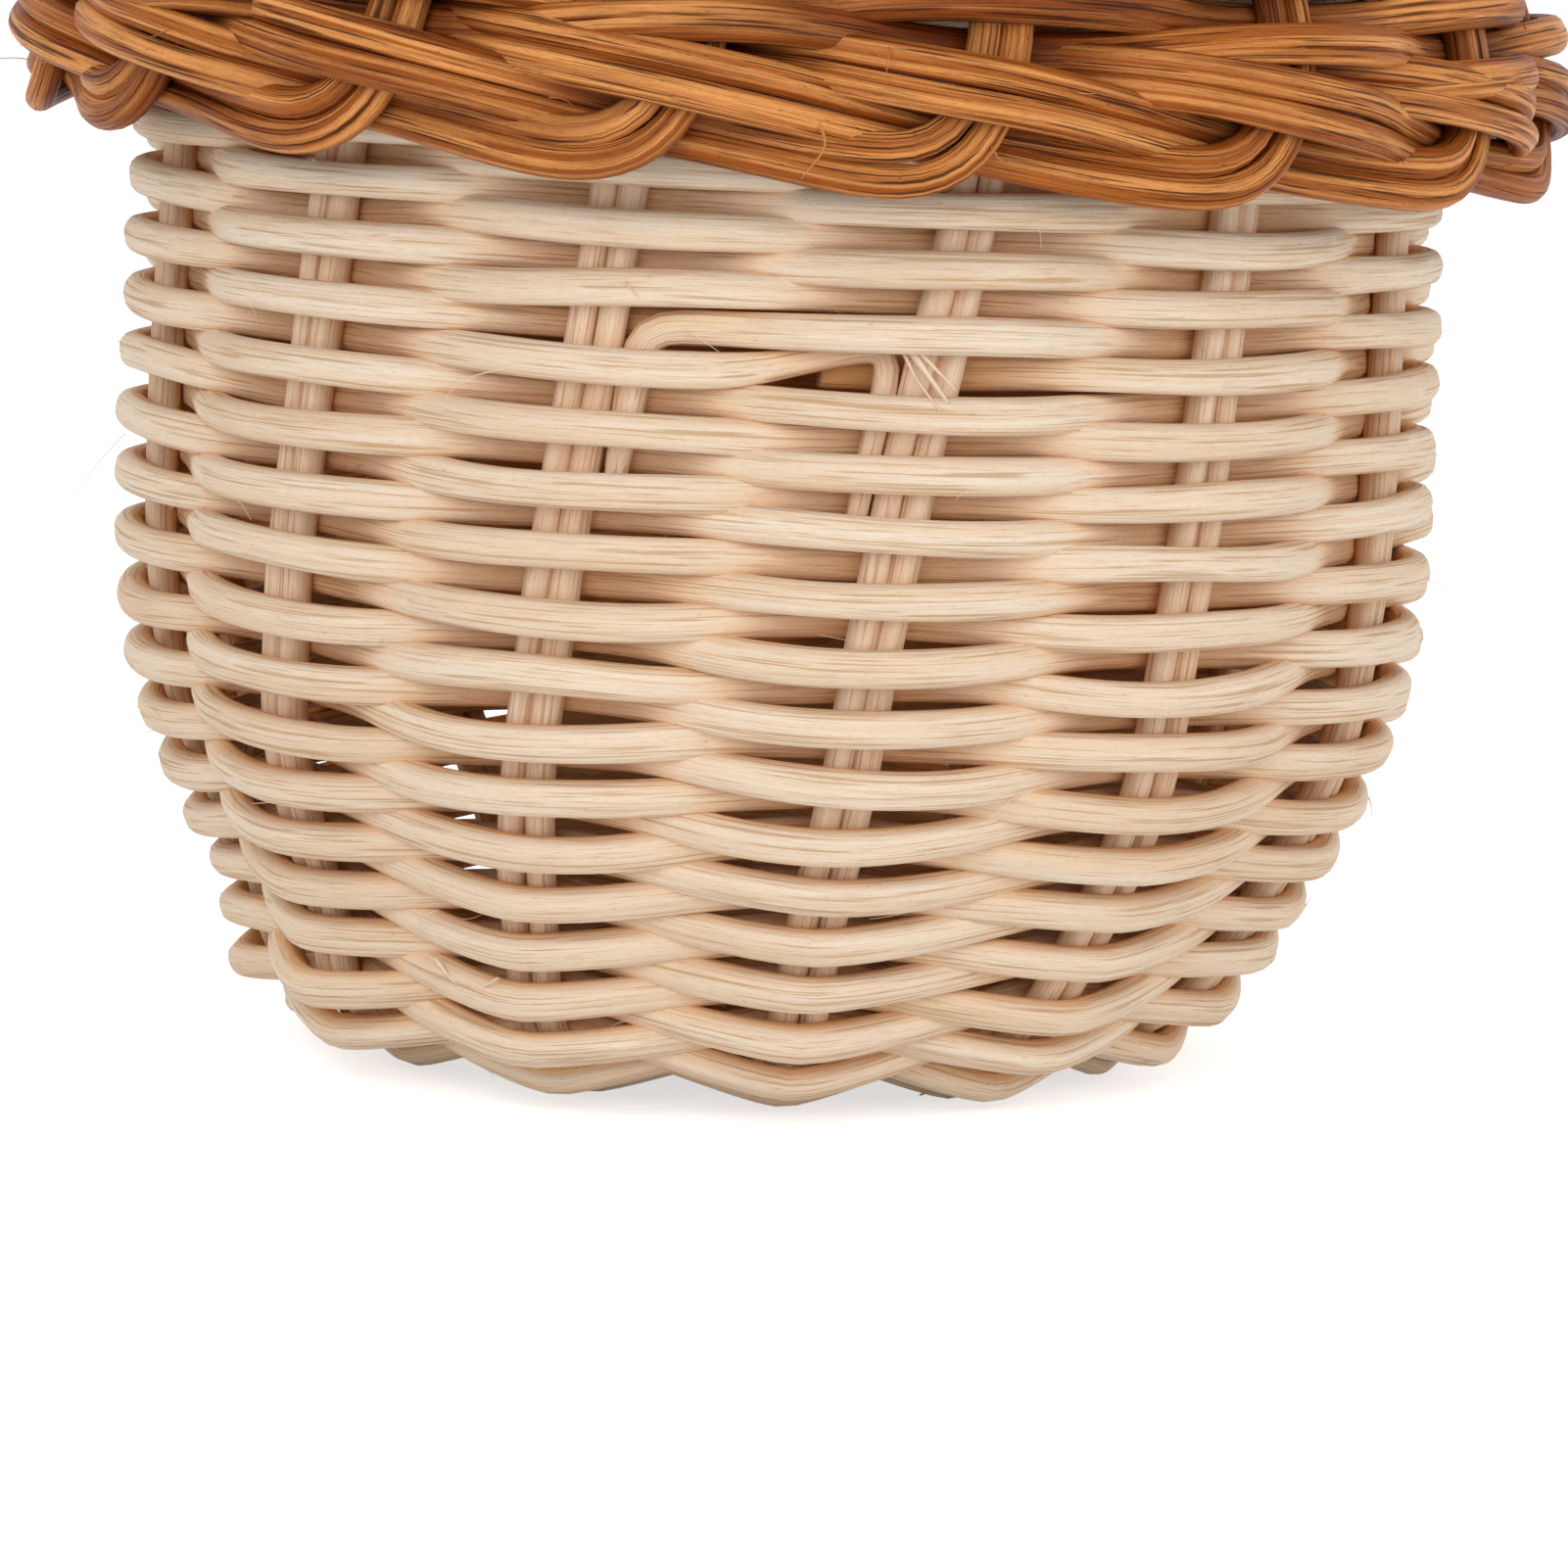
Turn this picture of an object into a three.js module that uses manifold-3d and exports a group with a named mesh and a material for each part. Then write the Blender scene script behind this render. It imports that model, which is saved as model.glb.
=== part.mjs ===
// A round storage basket of rattan core with a separate domed lid.
// The basket's stakes are long rods that cross under its base, fan out in pairs, turn up as the
// wall and are plaited down into a border at the top. Two reeds chase each other round the stakes.
// The lid is made the same way: its rods cross at the crown and end in the plait of the rim.

import * as THREE from "three";
import { mergeVertices } from "three/addons/utils/BufferGeometryUtils.js";
import Module from "manifold-3d";

// Reeds, in millimetres.
const stakeDiameter = 3.3;
const reedThickness = 3.3;
const reedHeight = 3.1;
const fineReedThickness = 2.5;
const fineReedHeight = 2.4;
const plaitRodWidth = 2.6;
const rowPitch = 3.68;
const fineRowPitch = 2.8;
const clearance = 0.3;

// The basket's middle surface runs halfway through its wall, along the stakes.
const basketRadius = 79.4;
const basketRise = 144;
const baseDish = 1.5;
const basketFanRadius = 22.5;
const basketFineRadius = 35.5;
const footCut = 0.5;

// The lid's middle surface runs from its crown down to its rim.
const lidRadius = 94.5;
const lidRise = 71;
const lidFanRadius = 29.5;
const lidFineRadius = 43;
const lidSettle = 1.0;

// The plait of the borders.
const bendRadius = 5.5;

// Counts and angles.
const basketCrossRods = 6;
const lidCrossRods = 8;
const basketTwist = THREE.MathUtils.degToRad(16.5);
const basketTurn = THREE.MathUtils.degToRad(1.8);
const lidTurn = THREE.MathUtils.degToRad(4.75);
const lidRoundness = 2.2;

// Fineness of the solids.
const rodSides = 5;
const chordSlack = 0.2;
const longestStep = 15;
const outlineSteps = 900;
const lidOutlinePoints = 22;

// The basket's outline beyond its dished middle, as shares of basketRadius and basketRise.
const basketOutlineShares = [
  [0.466, 0],
  [0.556, 0],
  [0.691, 0.019],
  [0.778, 0.07],
  [0.821, 0.114],
  [0.903, 0.196],
  [0.965, 0.279],
  [0.997, 0.392],
  [1, 0.484],
  [0.99, 0.701],
  [0.972, 1],
];
// The dished middle, as shares of basketRadius and baseDish.
const dishShares = [
  [0, 1],
  [0.31, 0.7],
];
// Where a pair of rods turns in the plait, in spaces between stakes from its own stake: it hooks
// round, passes inside the next stake, outside the second, and ends inside the third.
const hookShare = 0.3;
const insideShare = 1.3;
const tailShare = 3.04;
// Where the lengths of reed of a wall are joined, as shares of each of its two strands.
const basketJoinShares = [
  [0.22, 0.42, 0.61, 0.807],
  [0.18, 0.38, 0.57, 0.774],
];
const lidJoinShares = [
  [0.31, 0.66],
  [0.37, 0.7],
];
const noJoinShares = [[], []];

const naturalRattan = { color: 0xe3c9a2, roughness: 0.62, metalness: 0 };
const brownRattan = { color: 0xa9682f, roughness: 0.5, metalness: 0 };

const stakeHalf = stakeDiameter / 2;
const pairHalf = (stakeDiameter + clearance) / 2;
const plaitHalf = (plaitRodWidth + clearance) / 2;
const plaitEdge = plaitHalf + plaitRodWidth / 2;
const plaitStep = 2 * plaitEdge + clearance;
const plaitDepth = stakeDiameter + clearance;

const wasm = await Module();
wasm.setup();

// A surface turned about Z from an outline of [radius, height] points, from the axis outwards.
// Places on it are given by the distance s along the outline, the angle, the depth out of the
// surface and a step sideways. sense is 1 where the outline climbs the outside, -1 on a lid.
function middleSurface(points, sense, twist, twistFrom) {
  const places = points.map(([radius, height]) => new THREE.Vector3(radius, 0, height));
  const outline = new THREE.CatmullRomCurve3(places, false, "centripetal");
  outline.arcLengthDivisions = outlineSteps;
  const length = outline.getLength();
  const share = (s) => THREE.MathUtils.clamp(s / length, 0, 1);
  const radiusAt = (s) => outline.getPointAt(share(s)).x;
  const distanceAt = (radius) => {
    const step = length / outlineSteps;
    let s = 0;
    while (s < length && radiusAt(s) < radius) s += step;
    return s;
  };
  const start = distanceAt(twistFrom);
  const twistAt = (s) => (twist * Math.max(0, s - start)) / (length - start);
  const place = (s, angle, depth = 0, side = 0) => {
    const at = outline.getPointAt(share(s));
    const along = outline.getTangentAt(share(s));
    const turned = angle + twistAt(s);
    const round = new THREE.Vector3(Math.cos(turned), Math.sin(turned), 0);
    const sideways = new THREE.Vector3(-round.y, round.x, 0);
    const normal = round.clone().multiplyScalar(sense * along.z).setZ(-sense * along.x);
    const point = round.clone().multiplyScalar(at.x).setZ(at.z);
    point.addScaledVector(normal, depth).addScaledVector(sideways, side);
    return { point, normal, sideways };
  };
  const steepness = (s) => Math.abs(outline.getTangentAt(share(s)).z);
  return { length, place, radiusAt, distanceAt, steepness };
}

// A closed tube through rings, each a point with a normal. The section lists its corners as
// steps along the normal and across it. A ring's squeeze narrows it across, and its heading,
// where it has one, is the way the tube points there.
function sweep(rings, section) {
  const corners = section.length;
  const positions = [];
  rings.forEach(({ point, normal, heading, squeeze = 1 }, i) => {
    const before = rings[Math.max(0, i - 1)].point;
    const after = rings[Math.min(rings.length - 1, i + 1)].point;
    const along = heading ?? after.clone().sub(before).normalize();
    const across = along.clone().cross(normal).normalize();
    const upright = across.clone().cross(along);
    for (const [up, over] of section) {
      const corner = point.clone().addScaledVector(upright, up);
      positions.push(...corner.addScaledVector(across, over * squeeze));
    }
  });
  const index = [];
  for (let i = 0; i + 1 < rings.length; i++)
    for (let k = 0; k < corners; k++) {
      const a = i * corners + k;
      const b = i * corners + ((k + 1) % corners);
      index.push(a, b, a + corners, b, b + corners, a + corners);
    }
  const last = (rings.length - 1) * corners;
  for (let k = 1; k + 1 < corners; k++) index.push(0, k + 1, k, last, last + k, last + k + 1);
  const geometry = new THREE.BufferGeometry();
  geometry.setAttribute("position", new THREE.Float32BufferAttribute(positions, 3));
  geometry.setIndex(index);
  return geometry;
}

function roundSection(diameter) {
  const corner = (_, k) => {
    const angle = (2 * Math.PI * k) / rodSides;
    return [(Math.cos(angle) * diameter) / 2, (Math.sin(angle) * diameter) / 2];
  };
  return Array.from({ length: rodSides }, corner);
}

function flatSection(thickness, height) {
  const up = thickness / 2;
  const over = height / 2;
  return [
    [up, over],
    [-up, over],
    [-up, -over],
    [up, -over],
  ];
}

// The angle of a pair of stakes. A quarter of the pairs is centred on each arm of the cross.
function stakeAngle(pairs, number) {
  return ((number - (pairs / 4 - 1) / 2) * 2 * Math.PI) / pairs;
}

// How far a reed's middle swings out of the wall and back, so that it clears the pairs of rods.
// A reed with a plateau runs level over each pair, and one without turns in a single point.
function swing(surface, pairs, s, thickness, plateau) {
  const space = (2 * Math.PI * surface.radiusAt(s)) / pairs;
  const needed = stakeHalf + thickness / 2 + clearance;
  if (plateau > 0) {
    const open = Math.sqrt((space - 2 * pairHalf) ** 2 - 4 * needed ** 2);
    const steep = (needed * (space - 2 * plateau)) / open;
    return { outside: Math.max(needed, steep), inside: Math.max(needed, steep) };
  }
  const turn = (Math.PI / pairs) * surface.steepness(s);
  const reach = (slope) => (needed + pairHalf * Math.sin(slope)) / Math.cos(slope);
  let slope = (2 * needed) / space;
  slope = (reach(slope + turn) + reach(Math.max(0, slope - turn))) / space;
  return { outside: reach(slope + turn), inside: reach(Math.max(0, slope - turn)) };
}

// One length of reed of a strand, from stake first to stake last, counted along the strand, which
// runs clockwise. Each turn climbs two pitches, and the other strand lies between.
function reed(surface, pairs, weave, strand, first, last) {
  const { from, pitch, thickness, height, plateau } = weave;
  const rings = [];
  const add = (t, out, isEnd) => {
    const s = from + pitch * ((2 * t) / pairs + strand);
    const { outside, inside } = swing(surface, pairs, s, thickness, plateau);
    const depth = out ? outside : -inside;
    const { point, normal, sideways } = surface.place(s, stakeAngle(pairs, -t), depth);
    rings.push({ point, normal, heading: isEnd ? sideways.negate() : undefined });
  };
  for (let k = first; k <= last; k++) {
    const out = (k + strand) % 2 === 0;
    const space = (2 * Math.PI * surface.radiusAt(from + pitch * ((2 * k) / pairs + strand))) / pairs;
    const turns = plateau > 0 ? [-plateau / space, plateau / space] : [0];
    const butt = clearance / 2 / space;
    if (k === first) turns[0] = butt;
    if (k === last) turns[turns.length - 1] = -butt;
    for (const turn of turns) add(k + turn, out, Math.abs(turn) === butt);
  }
  return sweep(rings, flatSection(thickness, height));
}

// Distances along a rod's pair on the surface, close together where the outline bends.
function stepsAlong(surface, from, to) {
  const point = (s) => surface.place(s, 0).point;
  const bow = (a, b) => point((a + b) / 2).distanceTo(point(a).lerp(point(b), 1 / 2));
  const steps = [from];
  while (steps.at(-1) < to) {
    const here = steps.at(-1);
    let step = longestStep;
    while (bow(here, Math.min(to, here + step)) > chordSlack) step *= 0.9;
    const rest = to - here;
    steps.push(rest < 1.5 * step ? (rest > step ? here + rest / 2 : to) : here + step);
  }
  return steps;
}

// One rod of a pair in the border: a hook round the edge, then inside, outside and inside the
// next stakes. side is 1 for the rod that lies on the outer bend.
function plaitedEnd(surface, pairs, angle, side) {
  const edge = surface.length - plaitEdge;
  const space = (2 * Math.PI * surface.radiusAt(edge)) / pairs;
  const beside = (pairHalf + stakeHalf) / space;
  const slope = plaitStep / space;
  const rings = [];
  const add = (along, rise, heading, depth) => {
    const over = side * plaitHalf;
    const x = along - over * heading.y;
    const h = rise + over * heading.x;
    const ring = surface.place(edge - h, angle + (x / space) * ((2 * Math.PI) / pairs), depth);
    rings.push({ ...ring, squeeze: plaitRodWidth / stakeDiameter });
  };
  for (const turn of [0, Math.PI / 4, Math.PI / 2]) {
    const heading = { x: -Math.sin(turn), y: -Math.cos(turn) };
    add(bendRadius * (Math.cos(turn) - 1), bendRadius * (1 - Math.sin(turn)), heading, 0);
  }
  const climb = Math.atan(slope);
  const rising = { x: -Math.cos(climb), y: Math.sin(climb) };
  const arm = (spaces, depth) => add(-spaces * space, (spaces - hookShare) * plaitStep, rising, depth);
  arm(hookShare, 0);
  arm(1 - beside, -plaitDepth);
  arm(insideShare, -plaitDepth);
  arm(2 - beside, plaitDepth);
  arm(2 + beside, plaitDepth);
  arm(3 - beside, -plaitDepth);
  arm(tailShare, -plaitDepth);
  return rings;
}

// The end of one rod, from the cross out along its pair of stakes and into the border.
function rodEnd(surface, pairs, fanRadius, end) {
  const pair = Math.floor(end / 2);
  const side = end % 2 === 0 ? -1 : 1;
  const angle = stakeAngle(pairs, pair);
  const plaitStart = surface.length - plaitEdge - bendRadius;
  const steps = stepsAlong(surface, surface.distanceAt(fanRadius), plaitStart - bendRadius);
  const rings = steps.map((s) => surface.place(s, angle, 0, side * pairHalf));
  return [...rings, ...plaitedEnd(surface, pairs, angle, side)];
}

// The rods of a cross: a bundle along X under a bundle along Y. Their ends are counted round
// the cross, and each two neighbours make a pair of stakes.
function crossedRods(surface, crossRods, fanRadius) {
  const pairs = 2 * crossRods;
  const bundleEdge = ((crossRods - 1) / 2) * 2 * pairHalf + stakeDiameter;
  const middle = (crossRods - 1) / 2;
  const rods = [];
  for (const bundle of [0, 1])
    for (let rod = 0; rod < crossRods; rod++) {
      const beside = (rod - middle) * 2 * pairHalf;
      const layer = bundle === 0 ? pairHalf : -pairHalf;
      const opposite = 3 * crossRods;
      const ends = bundle === 0 ? [rod, opposite - 1 - rod] : [pairs - 1 - rod, opposite + rod];
      const bare = [1, -1].map((way) => {
        const { point, normal } = surface.place(0, 0, layer);
        if (bundle === 0) point.set(way * bundleEdge, beside, point.z);
        else point.set(beside, way * bundleEdge, point.z);
        return { point, normal };
      });
      const near = rodEnd(surface, pairs, fanRadius, ends[0]);
      const far = rodEnd(surface, pairs, fanRadius, ends[1]).reverse();
      rods.push(sweep([...far, bare[1], bare[0], ...near], roundSection(stakeDiameter)));
    }
  return rods;
}

// The strands of reed on a stretch of the surface, each cut into lengths at inside turns.
function strands(surface, pairs, weave, joinShares) {
  const lengths = [];
  for (const strand of [0, 1]) {
    const stakes = (((weave.to - weave.from) / weave.pitch - strand) * pairs) / 2;
    const cut = (share) => 2 * Math.floor((share * (stakes - 1)) / 2) + 1 - strand;
    const ends = [0, ...joinShares[strand], 1].map(cut);
    for (let part = 0; part + 1 < ends.length; part++) {
      const label = (strand === 0 ? "a" : "b") + (ends.length > 2 ? part + 1 : "");
      const geometry = reed(surface, pairs, weave, strand, ends[part], ends[part + 1]);
      lengths.push({ label, geometry });
    }
  }
  return lengths;
}

// The rods, the fine reeds near the cross and the reeds of the wall, as named geometries.
function wovenShell(name, surface, sizes) {
  const { crossRods, fanRadius, fineRadius, joinShares, fineName } = sizes;
  const pairs = 2 * crossRods;
  const fineEnd = surface.distanceAt(fineRadius);
  const bandTop = surface.length - plaitEdge - (tailShare - hookShare) * plaitStep - 2 * plaitEdge;
  const fine = {
    from: surface.distanceAt(fanRadius),
    to: fineEnd,
    pitch: fineRowPitch,
    thickness: fineReedThickness,
    height: fineReedHeight,
    plateau: pairHalf + stakeHalf - clearance,
  };
  const wall = {
    from: fineEnd + rowPitch,
    to: bandTop,
    pitch: rowPitch,
    thickness: reedThickness,
    height: reedHeight,
    plateau: 0,
  };
  const pieces = new Map();
  crossedRods(surface, crossRods, fanRadius).forEach((geometry, i) => {
    pieces.set(name + "_stake_rod_" + String(i + 1).padStart(2, "0"), geometry);
  });
  for (const { label, geometry } of strands(surface, pairs, fine, noJoinShares))
    pieces.set(name + "_" + fineName + "_reed_" + label, geometry);
  for (const { label, geometry } of strands(surface, pairs, wall, joinShares))
    pieces.set(name + "_wall_reed_" + label, geometry);
  return pieces;
}

// The distance from the lid's rim up to where its inside is as wide as a radius.
function insideHeight(surface, pairs, radius) {
  const step = surface.length / outlineSteps;
  let s = surface.length;
  let inner = null;
  do {
    s -= step;
    const { inside } = swing(surface, pairs, s, reedThickness, 0);
    inner = surface.place(s, 0, -inside - reedThickness / 2).point;
  } while (s > 0 && inner.x > radius);
  return inner.z;
}

function lowest(pieces) {
  let z = Infinity;
  for (const geometry of pieces.values()) {
    geometry.computeBoundingBox();
    z = Math.min(z, geometry.boundingBox.min.z);
  }
  return z;
}

// A geometry with everything below the floor cut away.
function cutAtFloor(geometry) {
  const solid = (shape) => {
    const bare = new THREE.BufferGeometry().copy(shape);
    const merged = mergeVertices(bare.deleteAttribute("normal").deleteAttribute("uv"));
    return new wasm.Manifold(
      new wasm.Mesh({
        numProp: 3,
        vertProperties: new Float32Array(merged.getAttribute("position").array),
        triVerts: new Uint32Array(merged.index.array),
      }),
    );
  };
  const below = new THREE.BoxGeometry(4 * basketRadius, 4 * basketRadius, basketRise);
  below.translate(0, 0, -basketRise / 2);
  const { vertProperties, triVerts } = solid(geometry).subtract(solid(below)).getMesh();
  const cut = new THREE.BufferGeometry();
  cut.setAttribute("position", new THREE.BufferAttribute(vertProperties, 3));
  cut.setIndex(new THREE.BufferAttribute(triVerts, 1));
  return cut;
}

function meshes(pieces, finish) {
  const group = new THREE.Group();
  for (const [name, geometry] of pieces) {
    geometry.computeVertexNormals();
    const mesh = new THREE.Mesh(geometry, new THREE.MeshStandardMaterial(finish));
    mesh.name = name;
    group.add(mesh);
  }
  return group;
}

// The basket, standing on its lowest reeds, which are worn flat.
const basketOutline = [
  ...dishShares.map(([radius, dish]) => [radius * basketRadius, dish * baseDish]),
  ...basketOutlineShares.map(([radius, height]) => [radius * basketRadius, height * basketRise]),
];
const basketSurface = middleSurface(basketOutline, 1, basketTwist, basketFineRadius);
const basketPieces = wovenShell("basket", basketSurface, {
  crossRods: basketCrossRods,
  fanRadius: basketFanRadius,
  fineRadius: basketFineRadius,
  joinShares: basketJoinShares,
  fineName: "base",
});
const basketLift = -footCut - lowest(basketPieces);
for (const [name, geometry] of basketPieces) {
  geometry.translate(0, 0, basketLift);
  if (lowest(new Map([[name, geometry]])) < 0) basketPieces.set(name, cutAtFloor(geometry));
}

// The lid, resting with its inside on the basket's border. Its inner rows settle a little way
// between the hooks of the border.
const lidOutline = Array.from({ length: lidOutlinePoints + 1 }, (_, i) => {
  const angle = (i / lidOutlinePoints) * (Math.PI / 2);
  const bulge = (value) => Math.max(0, value) ** (2 / lidRoundness);
  return [lidRadius * bulge(Math.sin(angle)), lidRise * bulge(Math.cos(angle))];
});
const lidSurface = middleSurface(lidOutline, -1, 0, lidFineRadius);
const lidPieces = wovenShell("lid", lidSurface, {
  crossRods: lidCrossRods,
  fanRadius: lidFanRadius,
  fineRadius: lidFineRadius,
  joinShares: lidJoinShares,
  fineName: "crown",
});
const borderTop = basketLift + basketRise;
const armsTop = borderTop - plaitEdge - (2 - hookShare) * plaitStep + plaitEdge;
const hookReach = basketSurface.radiusAt(basketSurface.length) + stakeHalf;
const armReach = basketSurface.radiusAt(basketSurface.length) + plaitDepth + stakeHalf;
const lidPairs = 2 * lidCrossRods;
const lidSeat = clearance - lidSettle + Math.max(
  borderTop - insideHeight(lidSurface, lidPairs, hookReach),
  armsTop - insideHeight(lidSurface, lidPairs, armReach),
);

const basket = meshes(basketPieces, naturalRattan);
basket.rotation.z = basketTurn;
const lid = meshes(lidPieces, brownRattan);
lid.rotation.z = lidTurn;
lid.position.z = lidSeat;

const part = new THREE.Group();
part.add(basket, lid);

export default part;
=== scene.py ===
# A round storage basket of natural rattan core with a lift-off domed lid of brown rattan. The
# solids of the frame give the size and the place of every rod and reed, and this script gives
# each of them its full thickness, its bends, its fibres, its colour and its loose hairs.

import math

import bpy
import numpy as np
from mathutils import Matrix, Vector


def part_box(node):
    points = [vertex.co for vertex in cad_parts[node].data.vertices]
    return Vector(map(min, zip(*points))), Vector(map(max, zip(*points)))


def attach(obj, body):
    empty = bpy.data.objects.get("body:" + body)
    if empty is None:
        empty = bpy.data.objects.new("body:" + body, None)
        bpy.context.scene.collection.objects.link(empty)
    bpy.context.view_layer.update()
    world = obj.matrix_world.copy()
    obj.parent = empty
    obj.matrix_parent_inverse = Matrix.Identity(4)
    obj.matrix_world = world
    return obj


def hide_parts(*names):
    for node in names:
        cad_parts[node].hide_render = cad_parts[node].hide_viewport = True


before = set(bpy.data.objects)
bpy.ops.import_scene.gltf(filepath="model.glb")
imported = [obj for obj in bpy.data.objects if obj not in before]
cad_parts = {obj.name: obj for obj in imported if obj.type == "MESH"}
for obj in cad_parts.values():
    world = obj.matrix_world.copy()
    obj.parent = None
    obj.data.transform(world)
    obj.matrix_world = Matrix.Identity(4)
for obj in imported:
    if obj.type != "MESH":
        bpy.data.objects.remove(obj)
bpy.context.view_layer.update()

# Lengths are in millimetres, as the reeds are sold, and turn into metres where a mesh is made.
MM = 0.001

# Rods and reeds.
BASKET_ROD_DIAMETER = 3.6
LID_ROD_DIAMETER = 3.85
REED_DIAMETER = 4.4
LID_REED_DIAMETER = 4.9
BASE_REED_DIAMETER = 4.2
FINE_REED_DIAMETER = 2.6
REED_FLATNESS = 0.05
REED_SQUARENESS = 0.04
PAIR_GAP = -0.12
PLAIT_EDGE = 2.75
PLAIT_RISE = 0.95
PLAIT_STEP = 5.8
PLAIT_DEPTH = 3.6
PLAIT_ARM_DROP = 1.2
ROW_PITCH = 3.68
FINE_ROW_PITCH = 2.8

# The basket's and the lid's middle surfaces.
BASKET_RADIUS = 79.4
BASKET_RISE = 144.0
BASE_DISH = 1.5
BASKET_FAN_RADIUS = 22.5
BASKET_FINE_RADIUS = 35.5
LID_RADIUS = 94.5
LID_RISE = 71.0
LID_FAN_RADIUS = 29.5
LID_FINE_RADIUS = 43.0
LID_ROUNDNESS = 2.2
LID_OUTLINE_POINTS = 22
BASKET_OUTLINE_SHARES = [
    (0.466, 0), (0.556, 0), (0.691, 0.019), (0.778, 0.07), (0.821, 0.114), (0.903, 0.196),
    (0.965, 0.279), (0.997, 0.392), (1, 0.484), (0.99, 0.701), (0.972, 1),
]
DISH_SHARES = [(0, 1), (0.31, 0.7)]

# Counts, angles and the places of the joins, as shares of each strand.
BASKET_CROSS_RODS = 6
LID_CROSS_RODS = 8
BASKET_TWIST = math.radians(16.5)
BASKET_TURN = math.radians(1.8)
LID_TURN = math.radians(4.75)
BASKET_JOIN_SHARES = [(0.22, 0.42, 0.61, 0.807), (0.18, 0.38, 0.57, 0.774)]
LID_JOIN_SHARES = [(0.31, 0.66), (0.37, 0.7)]
NO_JOIN_SHARES = [(), ()]

# The route of a rod through the border: along the rim in spaces between the stakes, above the
# edge in millimetres, and out of the wall as a share of PLAIT_DEPTH. The arm climbs evenly.
HOOK_SHARE = 0.37
TAIL_SHARE = 3.04
CAD_HOOK_SHARE = 0.3
HOOK_TOP = 20.0
# Millimetres added to the hooks' depths for the painted-shade mask alone, so that less shade is
# painted on them.
HOOK_PAINTED_SHADE_LIFT = 4.0
HOOK_ROUTE = [
    (0, HOOK_TOP, 0), (-0.005, 16.4, 0), (-0.028, 12.4, 0), (-0.06, 8.4, 0), (-0.105, 4.9, 0),
    (-0.17, 2.2, 0.1), (-0.26, 0.5, 0.15), (-HOOK_SHARE, 0, 0.1), (-0.5, 0.3, -0.1),
]
ARM_ROUTE = [
    (0.75, -0.75), (1.0, -1.05), (1.25, -0.9), (1.5, -0.25), (1.75, 0.75), (2.0, 1.08),
    (2.25, 0.95), (2.55, 0.3), (2.8, -0.8), (TAIL_SHARE, -1.9),
]

# The photograph's basket isn't even. Its wall is fuller at the lower left, and its stakes drift:
# a row of millimetres sideways for each pair, one at each of DRIFT_SHARES of the way up.
BASKET_BULGE = 6.0
BASKET_BULGE_TOWARD = math.radians(200)
BASKET_BULGE_HEIGHT = 2.0
BASKET_BULGE_REACH = 9.0
BASKET_BULGE_RADII = 42.0, 54.0
DRIFT_SHARES = 0, 0.25, 0.45, 0.6, 0.75, 1
BASKET_DRIFTS = {
    7: (0, -2.5, 3.5, 1.8, 1.5, 1),
    8: (0, -1.2, 3.2, 3.2, 3.2, 3.2),
    9: (0, -1.2, 0.7, 0.9, 1.3, 1.5),
    10: (0, -1, -1.6, -0.7, 1.7, 3.4),
    11: (0, 0.7, -3.1, -2.6, -2.3, -2.3),
    0: (0, 3, -2.4, -2.2, -1.2, 0),
}
LID_DRIFTS = {
    13: (0, 0, 0, 0, 0.5, 0.5),
    14: (0, 0, 0, 0, -1.2, -1.2),
    15: (0, 0, 0, 0, 1.2, 1.2),
    0: (0, 0, 0, 1, 3, 3.5),
}

# How unevenly the core is grown, split and woven.
SEED = 11
WANDER_WAVES = 5
WANDER_SPREAD = 0.5, 1.8
THICKNESS_WAVE = 60.0
THICKNESS_SWING_SHARE = 0.035
FACET_WAVE = 160.0
FACET_SHARES = (2, 0.03), (5, 0.014), (7, 0.012)
FIBRE_OFFSET = 4000.0
ROW_WAVE = 75.0
ROW_WANDER = 0.28
DEPTH_WANDER = 0.16
STAKE_WAVE = 60.0
STAKE_WANDER = 0.12
PLAIT_WAVE = 40.0
PLAIT_WANDER = 0.15

# How the reeds lie: how far they swing out and in, lap or tuck at a join and round their bends.
# A join's spread is (stake, strand, millimetres).
SWING = 3.675
FINE_SWING = 2.95
LAP = 0.32
LAP_DEPTH = 3.0
TUCK_HOLD = 10.0, 22.0
TUCK_LIFT_REACH = 16.0
TUCK_RETURN = 3.0
WALL_SQUARENESS = 0.9
FINE_SQUARENESS = 1.6
JOIN_SPREADS = (183, 0, 0.9), (170, 1, 1.1)
JOIN_SOFTNESS = 2.5
JOIN_REACH = 14.0
JOIN_STAKES_WIDE = 0.75
ROW_POINTED_SHARES = 0.22, 0.42
POINTEDNESS = 0.97
ROW_SAG = 0.8
ROW_SAG_MIDDLE = 0.45
ROW_SAG_WIDTH = 0.125
BASKET_EXTRA_TURNS = 1.0
LID_EXTRA_TURNS = 0.75
LID_ROW_STRETCH = 1.0
LID_SLANT = 3.0
LID_SLANT_BAND = 18.0, 45.0
EASING_ROUNDS = 3
CUT_DEPTH_SHARE = 0.12
CUT_WIDTH_SHARE = 0.86
BASE_REED_END = 48.0
BASE_REED_FADE = 14.0

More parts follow.
